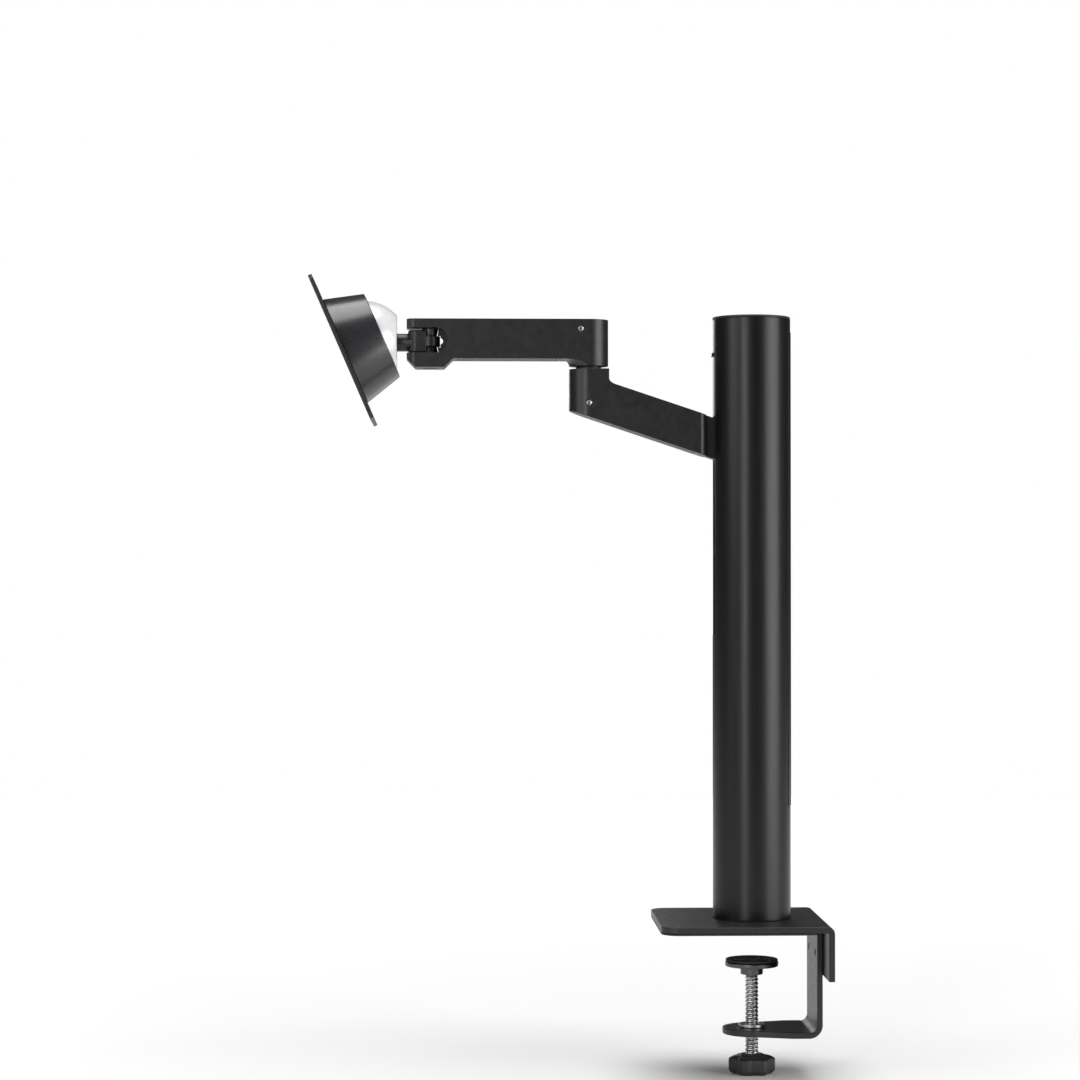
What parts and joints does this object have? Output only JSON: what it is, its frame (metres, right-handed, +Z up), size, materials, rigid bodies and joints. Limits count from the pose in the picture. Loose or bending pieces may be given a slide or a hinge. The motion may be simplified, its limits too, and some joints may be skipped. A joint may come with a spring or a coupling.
{
  "type": "monitor arm",
  "caption": "Desk-clamped monitor arm: swivelling round column, spring-balanced sliding carriage, folding links and a head that yaws, tilts and pivots.",
  "frame": {"origin": "on the column's axis, at the underside of the base pad, where the base lies on the desk top", "axes": "+Z up along the column; +X towards the desk's rear edge, where the clamp grips; at rest the arm reaches along -X; +Y completes a right-handed frame"},
  "size_m": [0.3851, 0.125, 0.5939],
  "materials": {
    "satin_black": "satin black powder coat on steel",
    "link_black": "satin black painted cast aluminium",
    "column_black": "satin charcoal anodised extrusion",
    "black_plastic": "matt black moulding",
    "silver_dome": "satin silver paint on a moulding",
    "grey_cone": "semi-gloss dark grey moulding",
    "dark_steel": "black oxide steel",
    "zinc_steel": "zinc-plated steel",
    "rubber": "matt",
    "nylon": "natural nylon",
    "spring_steel": "blued spring steel"
  },
  "bodies": {
    "base": {"base_plate": "satin_black", "base_pad": "rubber", "clamp_bracket": "satin_black", "bracket_screw_1": "dark_steel", "bracket_screw_2": "dark_steel", "clamp_nut": "zinc_steel", "column_spindle": "zinc_steel", "spindle_washer": "nylon", "spindle_nut": "zinc_steel"},
    "clamp_foot": {"clamp_foot": "dark_steel", "foot_pad": "rubber"},
    "clamp_screw": {"clamp_screw": "zinc_steel", "clamp_knob": "black_plastic"},
    "column": {"column_tube": "column_black", "column_cap": "black_plastic", "rear_cable_cover": "column_black", "upper_slot_filler": "column_black", "lower_slot_filler": "column_black", "lower_swivel_bush": "black_plastic", "upper_swivel_bush": "nylon", "guide_rod_1": "zinc_steel", "guide_rod_2": "zinc_steel", "rail_foot": "black_plastic", "spool_bracket": "zinc_steel"},
    "spring_spool": {"spring_drum": "nylon", "spring_coil": "spring_steel"},
    "carriage": {"carriage_block": "black_plastic", "band_anchor": "zinc_steel", "spring_band": "spring_steel", "neck_screw_1": "dark_steel", "neck_screw_2": "dark_steel", "lower_link": "link_black", "lower_link_cover": "black_plastic", "elbow_pin": "dark_steel", "lower_set_screw": "dark_steel"},
    "upper_link": {"upper_link": "link_black", "upper_link_cover": "black_plastic", "elbow_bush": "nylon", "elbow_washer": "black_plastic", "upper_set_screw": "dark_steel", "yaw_pin": "dark_steel"},
    "head_yaw": {"yaw_knuckle": "link_black", "yaw_bush_1": "dark_steel", "yaw_bush_2": "dark_steel", "dome_cover": "silver_dome", "tilt_yoke": "dark_steel"},
    "tilt_head": {"tilt_bracket": "dark_steel", "tilt_pin": "dark_steel", "friction_washer_1": "nylon", "friction_washer_2": "nylon", "tilt_nut": "dark_steel", "pivot_washer": "nylon"},
    "pivot_head": {"pivot_hub": "zinc_steel", "pivot_nut": "zinc_steel", "cone_housing": "grey_cone", "monitor_plate": "satin_black", "plate_screw_1": "dark_steel", "plate_screw_2": "dark_steel", "plate_screw_3": "dark_steel", "plate_screw_4": "dark_steel"}
  },
  "joints": [
    {"name": "column_swivel", "type": "hinge", "parent": "base", "child": "column", "pos_m": [0, 0, 0.007], "axis": [0, 0, 1], "range_deg": [-280, 280]},
    {"name": "lift", "type": "slide", "parent": "column", "child": "carriage", "axis": [0, 0, 1], "range_m": [-0.13, 0], "deforming": ["spring_band"]},
    {"name": "spool_turn", "type": "hinge", "parent": "column", "child": "spring_spool", "pos_m": [0.002, 0, 0.432], "axis": [0, 1, 0], "range_deg": [-540, 0]},
    {"name": "elbow", "type": "hinge", "parent": "carriage", "child": "upper_link", "pos_m": [-0.1226, 0, 0.4196], "axis": [0, 0, 1], "range_deg": [-150, 150]},
    {"name": "head_yaw", "type": "hinge", "parent": "upper_link", "child": "head_yaw", "pos_m": [-0.2417, 0, 0.4289], "axis": [0, 0, -1], "range_deg": [-90, 90]},
    {"name": "tilt", "type": "hinge", "parent": "head_yaw", "child": "tilt_head", "pos_m": [-0.29, 0, 0.4372], "axis": [0, 1, 0], "range_deg": [-1.5, 48.5]},
    {"name": "pivot", "type": "hinge", "parent": "tilt_head", "child": "pivot_head", "pos_m": [-0.29, 0, 0.4372], "axis": [-0.9171, 0, -0.3987], "range_deg": [-90, 90]},
    {"name": "clamp_travel", "type": "slide", "parent": "base", "child": "clamp_foot", "axis": [0, 0, 1], "range_m": [-0.035, 0.013]},
    {"name": "clamp_turn", "type": "hinge", "parent": "clamp_foot", "child": "clamp_screw", "pos_m": [0, 0, -0.0365], "axis": [0, 0, 1], "range_deg": [-4212, 1572]}
  ],
  "couplings": [
    {"joint": "spool_turn", "follows": "lift", "rad_per_m": 71.429},
    {"joint": "clamp_turn", "follows": "clamp_travel", "rad_per_m": 2094.4}
  ]
}
